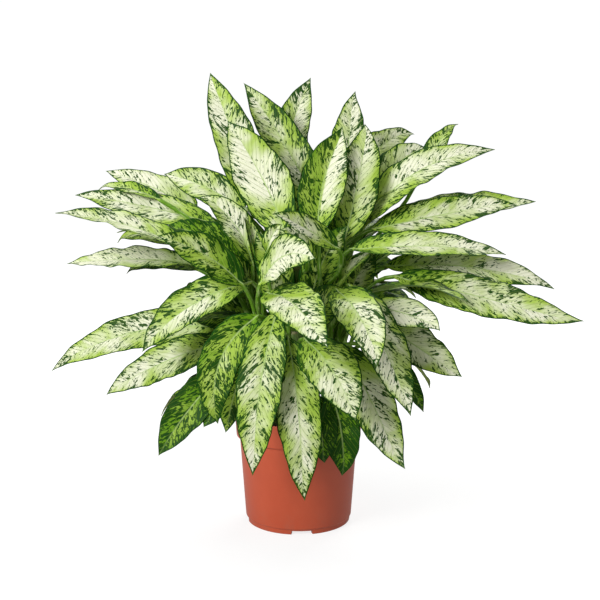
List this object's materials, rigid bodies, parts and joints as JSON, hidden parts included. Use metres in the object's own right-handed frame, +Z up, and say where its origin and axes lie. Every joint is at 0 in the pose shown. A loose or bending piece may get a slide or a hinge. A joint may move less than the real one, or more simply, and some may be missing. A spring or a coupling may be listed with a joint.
{
  "type": "potted dieffenbachia",
  "caption": "Bushy foliage house plant with cream and green speckled lance-shaped leaves on upright canes, growing in a flared plastic nursery pot.",
  "frame": {"origin": "centre of the pot's foot, on the surface the pot stands on", "axes": "+Z up along the pot's axis, +X across the plant's widest spread, -Y towards the side the plant is looked at from"},
  "size_m": [0.776, 0.522, 0.659],
  "materials": {
    "terracotta_plastic": "satin moulded plastic",
    "potting_soil": "crumbly peat",
    "green_cane": "smooth stem with ring scars",
    "variegated_leaf": "satin leaf, cream with dark green flecks"
  },
  "bodies": {
    "root": {"pot": "terracotta_plastic", "soil": "potting_soil", "cane_left": "green_cane", "cane_right": "green_cane", "cane_front": "green_cane", "cane_middle": "green_cane", "cane_back": "green_cane", "leaf_front_01": "variegated_leaf", "leaf_front_02": "variegated_leaf", "leaf_front_03": "variegated_leaf", "leaf_front_04": "variegated_leaf", "leaf_front_05": "variegated_leaf", "leaf_front_06": "variegated_leaf", "leaf_front_07": "variegated_leaf", "leaf_front_08": "variegated_leaf", "leaf_front_09": "variegated_leaf", "leaf_front_10": "variegated_leaf", "leaf_right_01": "variegated_leaf", "leaf_right_02": "variegated_leaf", "leaf_right_03": "variegated_leaf", "leaf_right_04": "variegated_leaf", "leaf_right_05": "variegated_leaf", "leaf_right_06": "variegated_leaf", "leaf_right_07": "variegated_leaf", "leaf_right_08": "variegated_leaf", "leaf_right_09": "variegated_leaf", "leaf_left_01": "variegated_leaf", "leaf_left_02": "variegated_leaf", "leaf_left_03": "variegated_leaf", "leaf_left_04": "variegated_leaf", "leaf_left_05": "variegated_leaf", "leaf_left_06": "variegated_leaf", "leaf_left_07": "variegated_leaf", "leaf_left_08": "variegated_leaf", "leaf_left_09": "variegated_leaf", "leaf_left_10": "variegated_leaf", "leaf_left_11": "variegated_leaf", "leaf_left_12": "variegated_leaf", "leaf_crown_01": "variegated_leaf", "leaf_crown_02": "variegated_leaf", "leaf_crown_03": "variegated_leaf", "leaf_crown_04": "variegated_leaf", "leaf_crown_05": "variegated_leaf", "leaf_crown_06": "variegated_leaf", "leaf_crown_07": "variegated_leaf", "leaf_crown_08": "variegated_leaf", "leaf_crown_09": "variegated_leaf", "leaf_crown_10": "variegated_leaf", "leaf_back_01": "variegated_leaf", "leaf_back_02": "variegated_leaf", "leaf_back_03": "variegated_leaf", "leaf_back_04": "variegated_leaf", "leaf_back_05": "variegated_leaf", "leaf_back_06": "variegated_leaf", "leaf_back_07": "variegated_leaf", "leaf_back_08": "variegated_leaf", "leaf_back_09": "variegated_leaf", "leaf_back_10": "variegated_leaf", "leaf_back_11": "variegated_leaf", "leaf_back_12": "variegated_leaf"}
  },
  "joints": []
}
